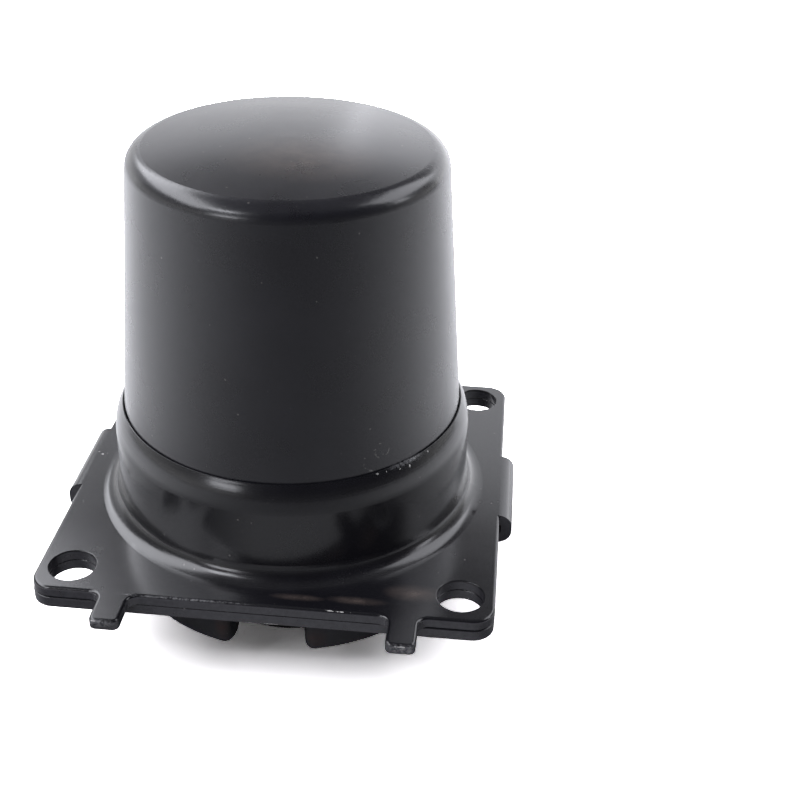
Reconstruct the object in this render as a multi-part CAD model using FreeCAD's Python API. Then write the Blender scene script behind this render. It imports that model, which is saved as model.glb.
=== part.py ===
"""Fluid-damped rubber cab mount, standing on its core with the reservoir can upward.

Frame: millimetres, +Z up along the mount's axis. The origin is the centre of the bolt
pattern on the flange's top face. +Y points away from the edge with the two flat tabs.
"""
import FreeCAD, Part
import math
import os

from FreeCAD import Vector

# Plate pack: two pressed plates, one on the other
sheet_t = 3.2
plate_width = 126.0
plate_front = 62.0
plate_back = 61.0
plate_corner_r = 6.0
plate_roll_r = 0.9
plate_edge_r = 0.25
bolt_hole_r = 6.5
bolt_pitch_x = 107.0
bolt_pitch_y = 103.0

# Flat tabs on the front edge of the collar plate
tab_width = 8.0
tab_pitch = 78.0
tab_reach = 11.0
tab_root_r = 3.0
tab_tip_r = 1.8
corner_setback = 0.4

# Hems: side flaps of the collar plate folded round the base plate
hem_front_y = -13.5
hem_length = 31.5
hem_proud = 3.8
hem_leg = 6.0
hem_clearance = 0.2
hem_inner_r = 0.8

# Collar drawn up from the collar plate
collar_outer_r = 51.9
collar_wall = 2.75
collar_height = 30.3
collar_root_r = 5.5
collar_shoulder_r = 15.0
collar_lip_land = 0.25

# Reservoir can
can_gap = 0.25
can_wall = 1.6
can_rim_r = 42.95
can_rim_height = 105.4
can_crown = 2.3
can_edge_r = 5.0
can_kink_drop = 1.0

# Funnel drawn up from the base plate inside the can
funnel_gap = 1.1
funnel_taper = 7.2
funnel_height = 20.0
funnel_bend_r = 2.0

# Core: its seat lies core_drop below the flange's top face
core_drop = 37.0
core_seat_r = 29.0
core_seat_t = 5.0
core_seat_chamfer = 0.8
core_base_r = 25.0
core_top_r = 15.0
core_cone_height = 50.0
neck_r = 9.0
damper_seat_height = 45.0
thread_drill_r = 7.0
thread_depth = 32.0
thread_mouth_r = 8.5
drill_point_half_angle = 59.0

# Rubber
rubber_skin = 1.2
seat_margin = 1.0
rim_skin = 1.0
rim_gap = 0.15
bead_r = 2.8
groove_sag = 4.2
top_sag = 5.0
pad_centre_r = 47.5
pad_bottom_r = 4.9
pad_depth = 20.2
pad_draft = 0.9
pad_count = 4
notch_half_angle = 12.2
pad_edge_r = 2.6

# Damper
damper_gap = 0.35
damper_t = 2.0
damper_rim = 6.0
damper_bend_r = 2.0
damper_hole_r = 3.5
damper_hole_count = 8
damper_hole_pitch_r = 27.0

# Screw and washer that hold the damper
screw_r = 5.0
screw_grip = 15.0
screw_clearance = 0.1
screw_head_flats = 16.0
screw_head_t = 6.4
screw_head_chamfer = 0.8
washer_r = 10.0
washer_t = 2.0

# Heights, from the flange's top face
plate_top_z = 0.0
plate_under_z = plate_top_z - sheet_t
base_under_z = plate_under_z - sheet_t
lip_z = plate_top_z + collar_height
damper_z = plate_top_z + damper_seat_height
seat_z = plate_top_z - core_drop
seat_top_z = seat_z + core_seat_t
core_top_z = seat_z + core_cone_height

# Sizes that follow from the ones above
collar_inner_r = collar_outer_r - collar_wall
collar_under_r = collar_root_r + collar_wall
can_skirt_r = collar_inner_r - can_gap
funnel_base_r = can_skirt_r - can_wall - rim_skin - funnel_gap
funnel_top_r = funnel_base_r - funnel_taper
damper_r = can_rim_r - can_wall - damper_gap
half_width = plate_width / 2
hem_outer_r = hem_inner_r + sheet_t
hem_root_x = half_width - plate_roll_r
hem_bend_x = half_width + hem_proud - hem_outer_r
pad_root_half = pad_bottom_r + pad_draft

# Largest offset at which an edge still counts as lying in a plane or on a radius
pick_tolerance = 0.01


def polar(centre, radius, degrees):
    """Point at an angle on a circle round centre."""
    angle = math.radians(degrees)
    return (centre[0] + radius * math.cos(angle), centre[1] + radius * math.sin(angle))


class Section:
    """Closed section of (radius, height) points in the XZ half plane."""

    def __init__(self, start):
        self.start = start
        self.here = start
        self.edges = []

    def vector(self, point):
        return Vector(point[0], 0, point[1])

    def line(self, *points):
        for point in points:
            self.edges.append(Part.makeLine(self.vector(self.here), self.vector(point)))
            self.here = point
        return self

    def arc(self, middle, end):
        """Arc from the present point through middle to end."""
        curve = Part.Arc(self.vector(self.here), self.vector(middle), self.vector(end))
        self.edges.append(curve.toShape())
        self.here = end
        return self

    def bend(self, centre, radius, first, last):
        """Arc round centre between two angles, in degrees."""
        return self.arc(polar(centre, radius, (first + last) / 2), polar(centre, radius, last))

    def face(self):
        self.line(self.start)
        return Part.Face(Part.Wire(self.edges))

    def revolved(self, degrees=360.0):
        return self.face().revolve(Vector(0, 0, 0), Vector(0, 0, 1), degrees)


def sagged_middle(first, last, sag):
    """Middle point of an arc that sags to the left of the chord from first to last."""
    run = (last[0] - first[0], last[1] - first[1])
    length = math.hypot(*run)
    centre = ((first[0] + last[0]) / 2, (first[1] + last[1]) / 2)
    return (centre[0] - run[1] / length * sag, centre[1] + run[0] / length * sag)


def tube(outer_r, inner_r, low, high):
    outer = Part.makeCylinder(outer_r, high - low, Vector(0, 0, low))
    return outer.cut(Part.makeCylinder(inner_r, high - low, Vector(0, 0, low)))


def rounded_outline(corners):
    """Flat face from (x, y, corner radius) corners in order."""
    edges = []
    starts = []
    ends = []
    for index, (x, y, radius) in enumerate(corners):
        corner = Vector(x, y, 0)
        before = Vector(*corners[index - 1][:2], 0) - corner
        after = Vector(*corners[(index + 1) % len(corners)][:2], 0) - corner
        half_turn = before.getAngle(after) / 2
        run = radius / math.tan(half_turn)
        start = corner + before.normalize() * run
        end = corner + after.normalize() * run
        towards = (before + after).normalize()
        middle = corner + towards * (radius / math.sin(half_turn) - radius)
        edges.append(Part.Arc(start, middle, end).toShape())
        starts.append(start)
        ends.append(end)
    sides = [Part.makeLine(ends[index - 1], starts[index]) for index in range(len(corners))]
    ordered = [edge for pair in zip(sides, edges) for edge in pair]
    return Part.Face(Part.Wire(ordered))


def bolt_holes(low, high):
    holes = []
    for side_x in (-1, 1):
        for side_y in (-1, 1):
            foot = Vector(side_x * bolt_pitch_x / 2, side_y * bolt_pitch_y / 2, low)
            holes.append(Part.makeCylinder(bolt_hole_r, high - low, foot))
    return Part.makeCompound(holes)


def level_edges(solid, height):
    """Edges that lie flat at a height."""
    low = height - pick_tolerance
    high = height + pick_tolerance
    return [edge for edge in solid.Edges if edge.BoundBox.ZMin > low and edge.BoundBox.ZMax < high]


def punched_plate(outline, low, high, roll):
    """Blank whose punch rolled the outline's top edge over, with the bolt holes punched in it."""
    blank = outline.extrude(Vector(0, 0, high - low))
    blank.translate(Vector(0, 0, low))
    blank = blank.makeFillet(roll, level_edges(blank, high))
    blank = blank.makeFillet(plate_edge_r, level_edges(blank, low))
    blank = blank.cut(bolt_holes(low, high))
    level = level_edges(blank, low) + level_edges(blank, high)
    return blank.makeFillet(plate_edge_r, [edge for edge in level if edge.isClosed()])


def hem_zone(side, inner_x, low, high, slack):
    """Block over one hem's length, from inner_x outward."""
    reach = half_width + hem_proud - inner_x
    corner_x = inner_x if side > 0 else -inner_x - reach
    corner = Vector(corner_x, hem_front_y - slack, low)
    return Part.makeBox(reach, hem_length + 2 * slack, high - low, corner)


def hem(side):
    """Fold from the collar plate round the base plate's edge, with its return leg."""
    upper = (hem_bend_x, plate_top_z - hem_outer_r)
    lower = (hem_bend_x, base_under_z + hem_inner_r)
    leg_x = hem_bend_x - hem_leg
    fold = Section((hem_root_x, plate_top_z))
    fold.line((hem_bend_x, plate_top_z))
    fold.bend(upper, hem_outer_r, 90, 0)
    fold.line((hem_bend_x + hem_outer_r, lower[1]))
    fold.bend(lower, hem_outer_r, 0, -90)
    fold.line((leg_x, lower[1] - hem_outer_r), (leg_x, base_under_z), (hem_bend_x, base_under_z))
    fold.bend(lower, hem_inner_r, -90, 0)
    fold.line((hem_bend_x + hem_inner_r, upper[1]))
    fold.bend(upper, hem_inner_r, 0, 90)
    fold.line((hem_root_x, plate_under_z))
    solid = fold.face().extrude(Vector(0, hem_length, 0))
    solid.translate(Vector(0, hem_front_y, 0))
    return solid if side > 0 else solid.mirror(Vector(0, 0, 0), Vector(1, 0, 0))


def collar():
    """Drawn collar: concave root on the plate, straight wall, rounded shoulder and lip."""
    root = (collar_outer_r + collar_root_r, plate_top_z + collar_root_r)
    under = (root[0], plate_under_z + collar_under_r)
    lip_r = collar_inner_r + collar_lip_land
    fall = collar_outer_r - lip_r
    shoulder_run = math.sqrt(collar_shoulder_r ** 2 - (collar_shoulder_r - fall) ** 2)
    shoulder = (collar_outer_r - collar_shoulder_r, lip_z - shoulder_run)
    lip_angle = math.degrees(math.asin(shoulder_run / collar_shoulder_r))
    wall = Section((root[0], plate_under_z))
    wall.bend(under, collar_under_r, 270, 180)
    wall.line((collar_inner_r, lip_z), (lip_r, lip_z))
    wall.bend(shoulder, collar_shoulder_r, lip_angle, 0)
    wall.line((collar_outer_r, root[1]))
    wall.bend(root, collar_root_r, 180, 270)
    return wall.revolved(), root[0]


def front_tab(side):
    """Corners of one front tab, from its outer root to its inner root."""
    outer_x = side * (tab_pitch + tab_width) / 2
    inner_x = side * (tab_pitch - tab_width) / 2
    tip_y = -plate_front - tab_reach
    return [
        (outer_x, -plate_front + corner_setback, tab_root_r),
        (outer_x, tip_y, tab_tip_r),
        (inner_x, tip_y, tab_tip_r),
        (inner_x, -plate_front, tab_root_r),
    ]


def collar_plate():
    back = [(-half_width, plate_back, plate_corner_r), (half_width, plate_back, plate_corner_r)]
    front_y = -plate_front + corner_setback
    right = [(half_width, front_y, plate_corner_r)] + front_tab(1)
    left = front_tab(-1)[::-1] + [(-half_width, front_y, plate_corner_r)]
    outline = rounded_outline(back + right + left)
    plate = punched_plate(outline, plate_under_z, plate_top_z, plate_roll_r)
    for side in (-1, 1):
        plate = plate.cut(hem_zone(side, hem_root_x, plate_under_z, plate_top_z, 0))
        plate = plate.fuse(hem(side))
    wall, ring_r = collar()
    plate = plate.cut(Part.makeCylinder(ring_r, sheet_t, Vector(0, 0, plate_under_z)))
    return plate.fuse(wall).removeSplitter()


def funnel():
    """Ring and cone drawn up from the base plate; both faces are parallel."""
    outer_bend = funnel_bend_r
    inner_bend = funnel_bend_r + sheet_t
    rise = math.atan2(funnel_height, funnel_base_r - funnel_top_r)
    lean = 90 - math.degrees(rise)
    run = outer_bend / math.tan((math.pi - rise) / 2)
    centre = (funnel_base_r + run, plate_under_z + outer_bend)
    top = (funnel_top_r, plate_under_z + funnel_height)
    top_inner = polar(top, sheet_t, 180 + lean)
    cone = Section((centre[0], plate_under_z))
    cone.bend(centre, outer_bend, 270, 180 + lean)
    cone.line(top, top_inner, polar(centre, inner_bend, 180 + lean))
    cone.bend(centre, inner_bend, 180 + lean, 270)
    return cone.revolved(), centre[0]


def base_plate():
    corners = []
    for side, y in ((-1, plate_back), (1, plate_back), (1, -plate_front), (-1, -plate_front)):
        corners.append((side * half_width, y, plate_corner_r))
    plate = punched_plate(rounded_outline(corners), base_under_z, plate_under_z, plate_edge_r)
    edge_x = hem_bend_x - hem_clearance
    for side in (-1, 1):
        plate = plate.cut(hem_zone(side, edge_x, base_under_z, plate_under_z, hem_clearance))
    cone, ring_r = funnel()
    plate = plate.cut(Part.makeCylinder(ring_r, sheet_t, Vector(0, 0, base_under_z)))
    return plate.fuse(cone).removeSplitter()


def can_body(inset):
    """Can's outer body, or its hollow when inset is the wall."""
    root_x = collar_outer_r + collar_root_r
    flare_r = root_x - can_skirt_r
    flare = (root_x, plate_under_z + flare_r)
    end_angle = 180 + math.degrees(math.asin((flare_r - rim_skin) / (flare_r + can_wall)))
    hollow_end = polar(flare, flare_r + can_wall, end_angle)
    rim_z = plate_top_z + can_rim_height - inset
    kink_z = lip_z - can_kink_drop
    skirt_r = can_skirt_r - inset
    rim_r = can_rim_r - inset
    apex_z = rim_z + can_crown
    dome_r = (rim_r ** 2 + can_crown ** 2) / (2 * can_crown)
    half_r = rim_r / 2
    half_z = apex_z - dome_r + math.sqrt(dome_r ** 2 - half_r ** 2)
    body = Section((0, hollow_end[1]))
    body.line(hollow_end)
    if inset == 0:
        body.line(polar(flare, flare_r, end_angle))
    body.bend(flare, flare_r + inset, end_angle, 180)
    body.line((skirt_r, kink_z), (rim_r, rim_z))
    body.arc((half_r, half_z), (0, apex_z))
    solid = body.revolved()
    rim = [edge for edge in solid.Edges if on_circle(edge, rim_r, rim_z)]
    return solid.makeFillet(can_edge_r - inset, rim)


def on_circle(edge, radius, height):
    box = edge.BoundBox
    flat = box.ZLength < pick_tolerance and abs(box.ZMax - height) < pick_tolerance
    return flat and abs(box.XMax - radius) < pick_tolerance


def reservoir_can():
    return can_body(0).cut(can_body(can_wall))


def core_blank():
    """Turned core before it is drilled: seat flange, bonded cone and neck."""
    turned = Section((0, seat_z))
    turned.line((core_seat_r - core_seat_chamfer, seat_z))
    turned.line((core_seat_r, seat_z + core_seat_chamfer))
    turned.line((core_seat_r, seat_top_z), (core_base_r, seat_top_z))
    turned.line((core_top_r, core_top_z), (neck_r, core_top_z), (neck_r, damper_z))
    turned.line((0, damper_z))
    return turned.revolved()


def core_boss():
    """Core drilled and countersunk for the stud, and drilled on top for the damper's screw."""
    mouth = thread_mouth_r - thread_drill_r
    drill_tip = thread_drill_r / math.tan(math.radians(drill_point_half_angle))
    blind = Section((0, seat_z))
    blind.line((thread_mouth_r, seat_z), (thread_drill_r, seat_z + mouth))
    blind.line((thread_drill_r, seat_z + thread_depth), (0, seat_z + thread_depth + drill_tip))
    tapped_r = screw_r + screw_clearance
    foot = Vector(0, 0, damper_z - screw_grip - washer_t)
    tapped = Part.makeCylinder(tapped_r, screw_grip + washer_t, foot)
    return core_blank().cut(blind.revolved()).cut(tapped)


def bump_pads():
    """Ring of drafted, round-ended bump stops cut by radial notches."""
    centre = (pad_centre_r, base_under_z - pad_depth + pad_bottom_r)
    span = 360.0 / pad_count - 2 * notch_half_angle
    pads = []
    for index in range(pad_count):
        pad = Section((pad_centre_r - pad_root_half, base_under_z))
        pad.line(polar(centre, pad_bottom_r, 180))
        pad.bend(centre, pad_bottom_r, 180, 360)
        pad.line((pad_centre_r + pad_root_half, base_under_z))
        solid = pad.revolved(span)
        ends = [edge for edge in solid.Edges if edge.BoundBox.ZLength > pad_bottom_r / 2]
        solid = solid.makeFillet(pad_edge_r, ends)
        solid.rotate(Vector(0, 0, 0), Vector(0, 0, 1), notch_half_angle + index * 360.0 / pad_count)
        pads.append(solid)
    return pads


def rubber_spring():
    """One moulding: bonded cone, wrapped funnel rim, sealing rim and bump pads."""
    pad_root = pad_centre_r + pad_root_half
    groove_start = (core_seat_r - seat_margin, seat_top_z)
    groove_end = (pad_centre_r - pad_root_half, base_under_z - rubber_skin)
    lean = math.atan2(funnel_base_r - funnel_top_r, funnel_height)
    outward = (math.cos(lean) * rim_skin, math.sin(lean) * rim_skin)
    rim_top = (funnel_top_r, plate_under_z + funnel_height)
    bead = (rim_top[0] - sheet_t / 2, rim_top[1])
    skin_top = (rim_top[0] + outward[0], rim_top[1] + outward[1])
    skin_foot_z = plate_under_z + rim_skin
    under_rise = collar_under_r - rim_skin
    under_run = math.sqrt(collar_under_r ** 2 - under_rise ** 2)
    rim_reach = collar_outer_r + collar_root_r - under_run - rim_gap
    slope = (funnel_base_r - funnel_top_r) / funnel_height
    skin_foot = (skin_top[0] + slope * (skin_top[1] - skin_foot_z), skin_foot_z)
    bead_top = (bead[0], bead[1] + bead_r)
    bead_inner = (bead[0] - bead_r - rim_skin, bead[1] - bead_r)
    core_side = (core_top_r, core_top_z)
    body = Section((0, seat_top_z))
    body.line(groove_start)
    body.arc(sagged_middle(groove_start, groove_end, groove_sag), groove_end)
    body.line((pad_root, groove_end[1]), (pad_root, base_under_z), (rim_reach, base_under_z))
    body.line((rim_reach, skin_foot_z), skin_foot, skin_top)
    body.arc(sagged_middle(skin_top, bead_top, -rim_skin), bead_top)
    body.arc(sagged_middle(bead_top, bead_inner, -rim_skin), bead_inner)
    body.arc(sagged_middle(bead_inner, core_side, top_sag), core_side)
    body.line((0, core_top_z))
    moulding = body.revolved()
    for pad in bump_pads():
        moulding = moulding.fuse(pad)
    return moulding.cut(base_plate()).cut(core_blank()).removeSplitter()


def damper_disc():
    """Pressed stirring plate with a turned rim and a ring of holes."""
    outer_bend = damper_bend_r + damper_t
    centre = (damper_r - outer_bend, damper_z + outer_bend)
    rim_z = damper_z + damper_t + damper_rim
    disc = Section((screw_r + screw_clearance, damper_z))
    disc.line((centre[0], damper_z))
    disc.bend(centre, outer_bend, 270, 360)
    disc.line((damper_r, rim_z), (damper_r - damper_t, rim_z), (damper_r - damper_t, centre[1]))
    disc.bend(centre, damper_bend_r, 360, 270)
    disc.line((screw_r + screw_clearance, damper_z + damper_t))
    plate = disc.revolved()
    for index in range(damper_hole_count):
        place = polar((0, 0), damper_hole_pitch_r, index * 360.0 / damper_hole_count)
        hole = Part.makeCylinder(damper_hole_r, damper_t, Vector(place[0], place[1], damper_z))
        plate = plate.cut(hole)
    return plate


def damper_washer():
    low = damper_z + damper_t
    return tube(washer_r, screw_r + screw_clearance, low, low + washer_t)


def damper_screw():
    """Hexagon screw; its head is chamfered by a cone."""
    low = damper_z + damper_t + washer_t
    across_corners = screw_head_flats / math.cos(math.radians(30)) / 2
    corners = [Vector(*polar((0, 0), across_corners, 60 * index), low) for index in range(7)]
    head = Part.Face(Part.makePolygon(corners)).extrude(Vector(0, 0, screw_head_t))
    cone = Section((0, low))
    cone.line((across_corners, low), (across_corners, low + screw_head_t - screw_head_chamfer))
    cone.line((screw_head_flats / 2 - screw_head_chamfer, low + screw_head_t))
    cone.line((0, low + screw_head_t))
    shank_low = damper_z - screw_grip
    shank = Part.makeCylinder(screw_r, low - shank_low, Vector(0, 0, shank_low))
    return head.common(cone.revolved()).fuse(shank).removeSplitter()


PIECES = {
    "reservoir_can": reservoir_can,
    "collar_plate": collar_plate,
    "base_plate": base_plate,
    "rubber_spring": rubber_spring,
    "core_boss": core_boss,
    "damper_disc": damper_disc,
    "damper_washer": damper_washer,
    "damper_screw": damper_screw,
}

os.makedirs("parts", exist_ok=True)
for name, build in PIECES.items():
    solid = build()
    print(name, solid.isValid(), len(solid.Solids), round(solid.Volume / 1000, 2), "cm3")
    solid.exportStep("parts/" + name + ".step")
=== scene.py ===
"""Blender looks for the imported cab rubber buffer, in metres and in the frame of the CAD."""

import math

import bpy
from mathutils import Matrix, Vector


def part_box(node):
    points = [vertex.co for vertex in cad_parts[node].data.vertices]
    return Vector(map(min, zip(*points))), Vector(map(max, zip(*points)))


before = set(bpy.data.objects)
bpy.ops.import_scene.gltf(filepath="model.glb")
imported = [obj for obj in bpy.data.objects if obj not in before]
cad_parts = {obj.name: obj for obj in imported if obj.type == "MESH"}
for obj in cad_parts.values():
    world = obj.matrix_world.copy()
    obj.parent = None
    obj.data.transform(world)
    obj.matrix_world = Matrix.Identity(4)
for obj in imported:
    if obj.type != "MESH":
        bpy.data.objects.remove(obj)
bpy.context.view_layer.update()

# Camera solved from the photograph's outlines: metres and degrees, round the flange's centre
CAMERA_AZIMUTH = 4.47
CAMERA_ELEVATION = 31.20
CAMERA_ROLL = 1.68
CAMERA_DISTANCE = 0.40078
CAMERA_SHIFT = (-0.03210, -0.02269)
CAMERA_LENS = 58.914
SENSOR_WIDTH = 36.0

MM_PER_M = 1000.0

# Floor: its colour for the camera, which grows paler with the square of the distance, and the greys
# that it gives to reflections, from its bright side (0) to its dark bearing (1), close by and far off;
# these greys are painted shade, with the object's own shadow painted on the near floor
FLOOR_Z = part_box("core_boss")[0].z
FLOOR_REACH = 2.0
FLOOR_SEEN = (2.5, 2.44, 2.38)
FLOOR_PALER = 30.0
FLOOR_DARK_BEARING = 170
FLOOR_NEAR_SHADOW = ((0.15, 0.78), (0.35, 0.34), (0.67, 0.2), (0.8, 0.08), (0.88, 0.1), (0.97, 0.24))
FLOOR_FAR_SHADE = ((0.2, 0.78), (0.5, 0.68), (0.68, 0.5), (0.8, 0.36), (0.92, 0.22), (1.0, 0.15))
FLOOR_BLEND = (0.14, 0.18)

# Studio: height that the lamps aim at, and the bearing of its dark side, clockwise from +Y
AIM_Z = 0.04
DARK_BEARING = 148
WALLS = ((0.0, 1.0), (0.35, 0.7), (0.7, 0.12))
CEILING = ((0.0, 0.7), (0.25, 0.2), (0.5, 0.06), (0.8, 0.08))
LAMP_TINT = (0.97, 0.98, 1.04)

# Lamps: azimuth and elevation in degrees, distance, width and height in metres, and radiance
LAMPS = {
    "softbox_left": (-80, 44, 1.0, (1.72, 0.46), 3.5),
    "softbox_right": (66, 43, 1.0, (0.9, 0.5), 2.1),
    "wall_right": (25, 13.5, 0.5, (0.52, 0.37), 1.1),
    "wall_back": (-16, 11.5, 0.5, (0.23, 0.34), 0.75),
    "wall_left": (-51, 11, 0.5, (0.39, 0.3), 0.45),
    "window_left": (-147, 14, 1.2, (0.35, 0.2), 4.5),
    "lamp_left": (-142, 38, 1.1, (0.26, 0.2), 6.5),
    "lamp_right": (88, 20, 1.2, (0.22, 0.22), 3.3),
    "fill_front": (180, 68, 1.2, (1.5, 0.9), 3.0),
}
NOT_REFLECTED = ("fill_front",)

# Marks in the finish, in millimetres in the frame of the CAD: centre and half size along X, Y and Z
CHIPS = (
    ((29.5, -40.3, 30.0), (1.6, 1.4, 0.9)), ((31.6, -38.8, 29.9), (1.0, 1.0, 0.8)),
    ((35.0, -36.2, 29.4), (0.9, 0.9, 1.4)), ((37.4, -33.6, 29.0), (0.8, 0.8, 1.3)),
    ((41.9, -27.2, 30.0), (1.4, 1.6, 0.9)), ((-61.0, 3.2, 0.0), (1.5, 0.8, 1.0)),
    ((-62.3, 4.6, -0.3), (1.2, 1.6, 1.0)), ((66.6, 4.0, -3.2), (0.6, 3.0, 1.0)),
    ((66.7, -4.0, -4.4), (0.6, 4.0, 0.8)), ((20.5, -61.9, -0.2), (8.5, 0.9, 0.35)),
    ((3.0, -62.0, -6.2), (6.0, 0.7, 0.5)), ((-42.0, -72.8, -0.5), (4.6, 0.7, 0.5)),
    ((39.5, -72.9, -0.7), (5.0, 0.5, 0.45)), ((39.5, -72.9, -3.0), (5.0, 0.6, 0.35)),
)
# Rubbed paint on the tabs and the plate's front edge; the mark on the collar's lip is rubbed paint and
# a painted highlight along it
RUBBED_AND_HIGHLIT = (
    ((36.5, -34.0, 30.1), (6.5, 6.5, 0.7)), ((-41.0, -73.0, -1.0), (6.0, 1.2, 1.6)),
    ((39.5, -73.0, -1.4), (6.5, 1.2, 1.8)), ((-20.0, -61.9, -0.1), (22.0, 0.6, 0.5)),
)
SCRATCHES = (((30.2, -37.8, 36.2), 2.2), ((28.0, -39.4, 33.8), 3.0))
STAINS = (
    ((41.0, -52.0, 0.0), (9.0, 4.0, 2.0)), ((26.0, -57.0, 0.0), (9.0, 1.8, 2.0)),
    ((10.0, -57.5, 0.0), (8.0, 1.5, 2.0)), ((6.0, -12.0, 107.0), (22.0, 18.0, 3.0)),
)
RUBBER_STAINS = (
    ((-12.6, -50.8, -18.4), (3.0, 3.0, 6.0)), ((14.0, -50.6, -20.1), (4.0, 3.0, 4.0)),
    ((-24.0, -46.0, -14.0), (5.0, 4.0, 3.0)), ((0.0, 48.0, -18.0), (9.0, 6.0, 6.0)),
)
SCRATCH_WIDTH = 0.3

# Collar's root radius in metres, and how close its drawing lines and the core's turning marks lie
ROOT_RADIUS = 0.0525
LINES_PER_M = 1800.0
TURNS_PER_M = 3000.0

# Colours of the plates' side faces, worn paint (which on the collar's lip is also a painted highlight),
# bare metal, dust, grease, rubber and steel
EDGE_GREY = (0.047, 0.046, 0.054)
RUBBED_AND_HIGHLIT_GREY = (0.3, 0.3, 0.31)
SCRATCH_GREY = (0.25, 0.24, 0.23)
CHIP_GREY = (0.5, 0.49, 0.48)
DUST_GREY = (0.2, 0.19, 0.18)
GREASE = (0.09, 0.07, 0.062)
RUBBER_GREASE = (0.07, 0.036, 0.03)
RUBBER_GREY = (0.03, 0.0295, 0.035)
WORN_STEEL = (0.12, 0.115, 0.11)

# Paints: grey beneath the shine, roughness of the paint and of its clear top, and strength of the grain
SATIN = (0.010, 0.28, 0.22, 0.01)
GLOSS = (0.006, 0.24, 0.17, 0.05)


def camera_matrix():
    """World matrix of the camera that looks at the flange's centre, then slides sideways."""
    azimuth = math.radians(CAMERA_AZIMUTH)
    elevation = math.radians(CAMERA_ELEVATION)
    roll = math.radians(CAMERA_ROLL)
    back = Vector((
        math.sin(azimuth) * math.cos(elevation),
        -math.cos(azimuth) * math.cos(elevation),
        math.sin(elevation),
    ))
    level = Vector((0, 0, 1)).cross(back).normalized()
    upright = back.cross(level)
    side = level * math.cos(roll) + upright * math.sin(roll)
    top = upright * math.cos(roll) - level * math.sin(roll)
    place = back * CAMERA_DISTANCE - side * CAMERA_SHIFT[0] - top * CAMERA_SHIFT[1]
    turn = Matrix((side, top, back)).transposed().to_4x4()
    return Matrix.Translation(place) @ turn


def add_camera():
    data = bpy.data.cameras.new("camera")
    data.lens = CAMERA_LENS
    data.sensor_width = SENSOR_WIDTH
    data.clip_start = 0.01
    data.clip_end = 20
    camera = bpy.data.objects.new("camera", data)
    bpy.context.scene.collection.objects.link(camera)
    camera.matrix_world = camera_matrix()
    bpy.context.scene.camera = camera


class Nodes:
    """Short way to write a node tree."""

    def __init__(self, tree):
        self.tree = tree
        tree.nodes.clear()

    def add(self, kind, inputs=None, **settings):
        node = self.tree.nodes.new(kind)
        for name, value in settings.items():
            setattr(node, name, value)
        for name, value in (inputs or {}).items():
            if isinstance(value, bpy.types.NodeSocket):
                self.tree.links.new(value, node.inputs[name])
            else:
                node.inputs[name].default_value = value
        return node

    def noise(self, scale, detail, roughness, vector):
        inputs = {"Scale": scale, "Detail": detail, "Roughness": roughness, "Vector": vector}
        return self.add("ShaderNodeTexNoise", inputs).outputs["Fac"]

    def ramp(self, fac, *stops):
        """Value that follows the (place, grey) stops."""
        node = self.add("ShaderNodeValToRGB", {"Fac": fac})
        elements = node.color_ramp.elements
        while len(elements) < len(stops):
            elements.new(0.5)
        for element, (place, grey) in zip(elements, stops):
            element.position = place
            element.color = (grey, grey, grey, 1)
        return node.outputs["Color"]

    def place(self):
        """Position on the object, in metres in the frame of the CAD."""
        return self.add("ShaderNodeTexCoord").outputs["Object"]

    def along(self, parts, bearing):
        """How far a point or way given by its X and Y goes towards a bearing clockwise from +Y."""
        angle = math.radians(bearing)
        return self.math("MULTIPLY_ADD", parts[0], math.sin(angle),
                         self.math("MULTIPLY", parts[1], math.cos(angle)))

    def math(self, operation, first, second=0.0, third=0.0):
        inputs = {0: first, 1: second, 2: third}
        return self.add("ShaderNodeMath", inputs, operation=operation).outputs[0]

    def offset(self, place, centre):
        """Way from a centre in millimetres to the place, in millimetres."""
        spot = tuple(value / MM_PER_M for value in centre)
        metres = self.add("ShaderNodeVectorMath", {0: place, 1: spot}, operation="SUBTRACT").outputs[0]
        return self.scale(metres, MM_PER_M)

    def scale(self, vector, factor):
        inputs = {0: vector, "Scale": factor}
        return self.add("ShaderNodeVectorMath", inputs, operation="SCALE").outputs[0]

    def parts(self, vector):
        """X, Y and Z of a vector."""
        return self.add("ShaderNodeSeparateXYZ", {"Vector": vector}).outputs

    def seen(self):
        """1 for what the camera looks at itself, and 0 for reflections and light."""
        return self.add("ShaderNodeLightPath").outputs["Is Camera Ray"]

    def length(self, vector):
        return self.add("ShaderNodeVectorMath", {0: vector}, operation="LENGTH").outputs["Value"]

    def marks(self, place, marks, core=0.0):
        """Mask that fades from 1 in the core of each mark to 0 at its rim."""
        mask = 0.0
        for centre, sizes in marks:
            inputs = {0: self.offset(place, centre), 1: tuple(1 / size for size in sizes)}
            scaled = self.add("ShaderNodeVectorMath", inputs, operation="MULTIPLY")
            reach = {"Value": self.length(scaled.outputs[0]), "From Min": 1.0, "From Max": core}
            inside = self.add("ShaderNodeMapRange", reach)
            mask = self.math("MAXIMUM", mask, inside.outputs[0])
        return mask

    def rings(self, place, rings, width):
        """Mask that is 1 on rings of that half width, in millimetres."""
        mask = 0.0
        for centre, radius in rings:
            far = self.length(self.offset(place, centre))
            off = self.math("ABSOLUTE", self.math("SUBTRACT", far, radius))
            reach = {"Value": off, "From Min": width, "From Max": width * 0.4}
            inside = self.add("ShaderNodeMapRange", reach)
            mask = self.math("MAXIMUM", mask, inside.outputs[0])
        return mask

    def mix(self, fac, first, second, blend_type="MIX"):
        node = self.add("ShaderNodeMix", {"Factor": fac}, data_type="RGBA", blend_type=blend_type)
        for socket, value in ((node.inputs[6], first), (node.inputs[7], second)):
            if isinstance(value, bpy.types.NodeSocket):
                self.tree.links.new(value, socket)
            else:
                socket.default_value = (*value, 1)
        return node.outputs[2]


def new_material(name):
    material = bpy.data.materials.new(name)
    material.use_nodes = True
    return material, Nodes(material.node_tree)


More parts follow.
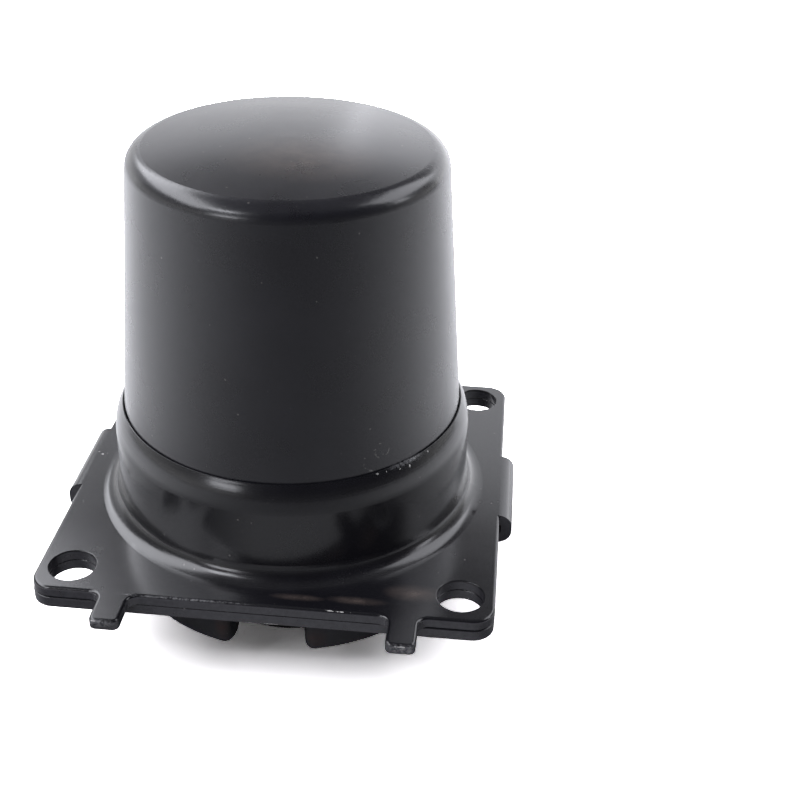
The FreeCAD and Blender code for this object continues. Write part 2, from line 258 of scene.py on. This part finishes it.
def grease_stain(n, place, marks):
    """Soft mask of brownish film over the marks."""
    mask = n.marks(place, marks)
    patchy = n.ramp(n.noise(240.0, 5.0, 0.65, place), (0.3, 0.25), (0.7, 1.0))
    return n.math("MULTIPLY", mask, patchy)


def crumbled(n, place, marks):
    """Broken mask of small bare spots, close together in the core of each mark."""
    crumbs = n.noise(1500.0, 4.0, 0.7, place)
    deep = n.math("MULTIPLY_ADD", n.marks(place, marks), 0.6, crumbs)
    return n.ramp(deep, (0.9, 0.0), (0.97, 1.0))


def dust(n, place, scale, share):
    """Mask of small specks; share is how many of the cells of that scale hold one."""
    cells = n.add("ShaderNodeTexVoronoi", {"Vector": place, "Scale": scale}).outputs
    chosen = n.math("LESS_THAN", n.parts(cells["Color"])[0], share)
    return n.math("MULTIPLY", n.ramp(cells["Distance"], (0.06, 1.0), (0.1, 0.0)), chosen)


def bump(n, strength, depth, height, normal=None):
    """Normal of a surface with that relief; depth is in metres."""
    inputs = {"Strength": strength, "Distance": depth, "Height": height}
    if normal is not None:
        inputs["Normal"] = normal
    return n.add("ShaderNodeBump", inputs).outputs[0]


def finished(material, n, inputs):
    """Material with a principled shader that has those inputs."""
    shader = n.add("ShaderNodeBsdfPrincipled", inputs)
    n.add("ShaderNodeOutputMaterial", {"Surface": shader.outputs[0]})
    return material


def soiled(n, place, colour):
    """Colour with grease and two sizes of dust on it."""
    greasy = n.math("MULTIPLY", grease_stain(n, place, STAINS), 0.85)
    colour = n.mix(greasy, colour, GREASE)
    fine = n.math("MULTIPLY", dust(n, place, 700.0, 0.1), 0.5)
    specks = n.math("MAXIMUM", dust(n, place, 300.0, 0.16), fine)
    return n.mix(n.math("MULTIPLY", specks, 0.4), colour, DUST_GREY)


def worn(n, place, colour):
    """Colour lighter on the plates' side faces, with rubbed spots (on the collar's lip also a painted
    highlight), ring scratches and chips.
    """
    colour = n.mix(cut_edges(n, place), colour, EDGE_GREY)
    thinned = n.ramp(n.noise(900.0, 4.0, 0.7, place), (0.4, 0.0), (0.65, 0.6))
    # Rubbed paint; on the collar's lip this lighter streak is also a painted highlight
    rubbed = n.math("MULTIPLY", n.marks(place, RUBBED_AND_HIGHLIT, 0.4), thinned)
    colour = n.mix(rubbed, colour, RUBBED_AND_HIGHLIT_GREY)
    broken = n.ramp(n.noise(330.0, 4.0, 0.7, place), (0.5, 0.0), (0.56, 0.5))
    scratched = n.math("MULTIPLY", n.rings(place, SCRATCHES, SCRATCH_WIDTH), broken)
    colour = n.mix(scratched, colour, SCRATCH_GREY)
    return n.mix(crumbled(n, place, CHIPS), colour, CHIP_GREY)


def black_paint(name, grey, rough, coat_rough, grainy):
    """Sprayed black paint, a little bluish, with dirt, wear and a painted highlight on the collar's
    lip, under a clear glossy top.
    """
    material, n = new_material(name)
    place = n.place()
    cloud = n.noise(55.0, 5.0, 0.6, place)
    film = n.ramp(cloud, (0.3, 0.85), (0.7, 1.25))
    colour = n.mix(1.0, (grey, grey * 0.98, grey * 1.28), film, "MULTIPLY")
    colour = worn(n, place, soiled(n, place, colour))
    skin = bump(n, grainy, 0.00008, n.noise(2300.0, 2.0, 0.5, place))
    drawn = bump(n, 0.5, 0.00006, drawing_lines(n, place), skin)
    return finished(material, n, {
        "Base Color": colour,
        "Roughness": n.ramp(cloud, (0.3, rough - 0.03), (0.7, rough + 0.04)),
        "Normal": drawn,
        "Coat Weight": 1.0,
        "Coat Roughness": coat_rough,
        "Coat Normal": drawn,
    })


def cut_edges(n, place):
    """Mask of the plates' sideways faces below their top, which get a lighter grey."""
    upward = n.parts(n.add("ShaderNodeTexCoord").outputs["Normal"])[2]
    sideways = n.ramp(n.math("ABSOLUTE", upward), (0.3, 1.0), (0.6, 0.0))
    low = n.ramp(n.math("MULTIPLY_ADD", n.parts(place)[2], 100.0, 1.0), (0.93, 1.0), (0.97, 0.0))
    patchy = n.ramp(n.noise(420.0, 4.0, 0.65, place), (0.3, 0.6), (0.7, 1.0))
    return n.math("MULTIPLY", n.math("MULTIPLY", sideways, low), patchy)


def drawing_lines(n, place):
    """Fine rings that the drawing die left round the root and the lip of the collar."""
    x, y, z = n.parts(place)
    radius = n.math("SQRT", n.math("MULTIPLY_ADD", x, x, n.math("MULTIPLY", y, y)))
    angle = n.math("ARCTAN2", y, x)
    round_axis = n.add("ShaderNodeCombineXYZ", {
        0: n.math("MULTIPLY", radius, LINES_PER_M),
        1: n.math("MULTIPLY", z, LINES_PER_M),
        2: n.math("MULTIPLY", angle, 2.5),
    })
    lines = n.noise(1.0, 2.0, 0.5, round_axis.outputs[0])
    off_root = n.math("ABSOLUTE", n.math("SUBTRACT", radius, ROOT_RADIUS))
    low = n.ramp(n.math("MULTIPLY", z, 100.0), (0.05, 0.0), (0.1, 1.0), (0.45, 1.0), (0.6, 0.0))
    near = n.ramp(n.math("MULTIPLY", off_root, 200.0), (0.2, 1.0), (0.5, 0.0))
    root = n.math("MULTIPLY", low, near)
    lip = n.ramp(n.math("MULTIPLY", z, 25.0), (0.6, 0.0), (0.66, 0.7), (0.76, 0.7), (0.8, 0.0))
    return n.math("MULTIPLY", lines, n.math("MAXIMUM", root, lip))


def rubber():
    """Moulded rubber with a dull skin, a brownish bloom and dust."""
    material, n = new_material("rubber")
    place = n.place()
    cloud = n.noise(130.0, 5.0, 0.6, place)
    film = n.ramp(cloud, (0.3, 0.8), (0.7, 1.3))
    colour = n.mix(1.0, RUBBER_GREY, film, "MULTIPLY")
    colour = n.mix(grease_stain(n, place, RUBBER_STAINS), colour, RUBBER_GREASE)
    colour = n.mix(n.math("MULTIPLY", dust(n, place, 500.0, 0.4), 0.4), colour, DUST_GREY)
    return finished(material, n, {
        "Base Color": colour,
        "Roughness": n.ramp(cloud, (0.3, 0.5), (0.7, 0.64)),
        "Normal": bump(n, 0.25, 0.0001, n.noise(1700.0, 3.0, 0.6, place)),
    })


def core_steel():
    """Turned steel under thin black phosphate, a little brighter where it rubs."""
    material, n = new_material("core_steel")
    place = n.place()
    cloud = n.noise(300.0, 6.0, 0.65, place)
    rubbed = n.ramp(n.noise(70.0, 4.0, 0.6, place), (0.45, 0.0), (0.7, 0.35))
    colour = n.mix(rubbed, n.ramp(cloud, (0.3, 0.02), (0.7, 0.045)), WORN_STEEL)
    along = n.add("ShaderNodeCombineXYZ", {0: n.math("MULTIPLY", n.parts(place)[2], TURNS_PER_M)})
    turning = n.noise(1.0, 2.0, 0.5, along.outputs[0])
    return finished(material, n, {
        "Base Color": colour,
        "Roughness": n.ramp(cloud, (0.3, 0.35), (0.7, 0.5)),
        "Metallic": 0.35,
        "Normal": bump(n, 0.3, 0.00005, turning),
    })


def plain_steel():
    """Bright steel with a fine brushed grain."""
    material, n = new_material("plain_steel")
    place = n.place()
    grain = n.noise(900.0, 5.0, 0.6, place)
    return finished(material, n, {
        "Base Color": n.ramp(n.noise(80.0, 3.0, 0.5, place), (0.3, 0.48), (0.7, 0.58)),
        "Roughness": n.ramp(grain, (0.3, 0.26), (0.7, 0.38)),
        "Metallic": 1.0,
        "Normal": bump(n, 0.15, 0.00005, grain),
    })


def assign(node, material):
    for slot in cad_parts[node].material_slots:
        slot.material = material


def toward(azimuth, elevation, distance):
    """Point at a bearing clockwise from +Y and an elevation, from the middle of the object."""
    flat = math.cos(math.radians(elevation)) * distance
    return Vector((
        math.sin(math.radians(azimuth)) * flat,
        math.cos(math.radians(azimuth)) * flat,
        math.sin(math.radians(elevation)) * distance + AIM_Z,
    ))


def add_stage():
    """Pale floor, which reflections see in painted shade towards the dark side of the studio and in the
    object's painted shadow close by.
    """
    signs = ((1, 1), (-1, 1), (-1, -1), (1, -1))
    corners = [(x * FLOOR_REACH, y * FLOOR_REACH, FLOOR_Z) for x, y in signs]
    mesh = bpy.data.meshes.new("floor")
    mesh.from_pydata(corners, [], [(0, 1, 2, 3)])
    floor = bpy.data.objects.new("floor", mesh)
    bpy.context.scene.collection.objects.link(floor)
    material, n = new_material("floor")
    place = n.place()
    outward = n.add("ShaderNodeVectorMath", {0: place, 1: (0, 0, -FLOOR_Z)}, operation="ADD").outputs[0]
    outward = n.add("ShaderNodeVectorMath", {0: outward}, operation="NORMALIZE").outputs[0]
    turned = n.math("MULTIPLY_ADD", n.along(n.parts(outward), FLOOR_DARK_BEARING), 0.5, 0.5)
    distance = n.length(place)
    blend = n.ramp(distance, (FLOOR_BLEND[0], 0.0), (FLOOR_BLEND[1], 1.0))
    # Painted shade: the object's shadow close by, blended into the studio's dark side far off
    grey = n.mix(blend, n.ramp(turned, *FLOOR_NEAR_SHADOW), n.ramp(turned, *FLOOR_FAR_SHADE))
    paler = n.math("MULTIPLY_ADD", n.math("MULTIPLY", distance, distance), FLOOR_PALER, 1.0)
    colour = n.mix(n.seen(), grey, n.scale(FLOOR_SEEN, paler))
    shader = n.add("ShaderNodeBsdfDiffuse", {"Color": colour})
    n.add("ShaderNodeOutputMaterial", {"Surface": shader.outputs[0]})
    mesh.materials.append(material)


def add_lamp(name, azimuth, elevation, distance, size, brightness):
    """Soft panel lamp facing the object; brightness is its radiance, where 1 is white."""
    data = bpy.data.lights.new(name, "AREA")
    data.shape = "RECTANGLE"
    data.size, data.size_y = size
    data.energy = brightness * math.pi * size[0] * size[1]
    data.color = LAMP_TINT
    lamp = bpy.data.objects.new(name, data)
    bpy.context.scene.collection.objects.link(lamp)
    lamp.location = toward(azimuth, elevation, distance)
    aim = Vector((0, 0, AIM_Z)) - lamp.location
    lamp.rotation_euler = aim.to_track_quat("-Z", "Y").to_euler()
    lamp.visible_camera = False
    lamp.visible_glossy = name not in NOT_REFLECTED


def add_world():
    """Walls that fade to a dim ceiling and to a dark side in front; the camera sees plain white."""
    world = bpy.data.worlds.new("world")
    bpy.context.scene.world = world
    world.use_nodes = True
    n = Nodes(world.node_tree)
    way = n.add("ShaderNodeTexCoord").outputs["Generated"]
    parts = n.parts(way)
    walls = n.ramp(n.along(parts, DARK_BEARING), *WALLS)
    room = n.mix(1.0, walls, n.ramp(parts[2], *CEILING), "MULTIPLY")
    studio = n.add("ShaderNodeBackground", {"Color": room, "Strength": 1.0})
    white = n.add("ShaderNodeBackground", {"Color": (1, 1, 1, 1), "Strength": 1.0})
    both = n.add("ShaderNodeMixShader", {0: n.seen(), 1: studio.outputs[0], 2: white.outputs[0]})
    n.add("ShaderNodeOutputWorld", {"Surface": both.outputs[0]})


add_camera()
add_stage()
for lamp_name, lamp_values in LAMPS.items():
    add_lamp(lamp_name, *lamp_values)
add_world()
gloss_paint = black_paint("gloss_paint", *GLOSS)
assign("reservoir_can", black_paint("satin_paint", *SATIN))
assign("collar_plate", gloss_paint)
assign("base_plate", gloss_paint)
assign("rubber_spring", rubber())
assign("core_boss", core_steel())
damper_steel = plain_steel()
for node in ("damper_disc", "damper_washer", "damper_screw"):
    assign(node, damper_steel)

bpy.context.scene.view_settings.view_transform = "Standard"
